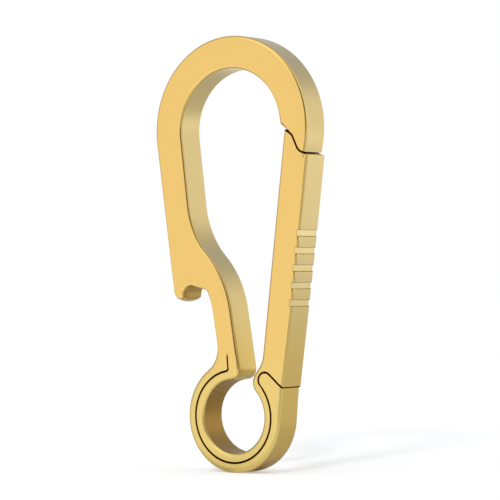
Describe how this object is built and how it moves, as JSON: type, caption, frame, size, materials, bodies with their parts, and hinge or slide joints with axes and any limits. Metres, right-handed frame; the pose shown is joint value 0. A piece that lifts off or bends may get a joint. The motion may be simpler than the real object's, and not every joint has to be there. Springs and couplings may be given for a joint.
{
  "type": "plate carabiner",
  "caption": "Flat plate carabiner in satin brass: a wire-cut ring springs its gate shut, with a key ring hole and a bottle-opener tooth.",
  "frame": {"origin": "centre of the key ring hole, half way through the plate", "axes": "+Z along the carabiner from the ring end up to the hook bow, +X from the back leg to the gate, +Y through the plate, along the key ring hole"},
  "size_m": [0.0278, 0.005, 0.0647],
  "materials": {
    "satin_brass": "satin, fine grain on the cut walls"
  },
  "bodies": {
    "frame": {"hook_frame": "satin_brass", "ring_spring": "satin_brass"},
    "gate": {"gate": "satin_brass"}
  },
  "joints": [
    {"name": "gate_flex", "type": "hinge", "parent": "frame", "child": "gate", "pos_m": [0, 0, 0], "axis": [0, -1, 0], "range_deg": [0, 12], "stiffness_Nm_per_rad": 2.6, "deforming": ["ring_spring"]}
  ]
}
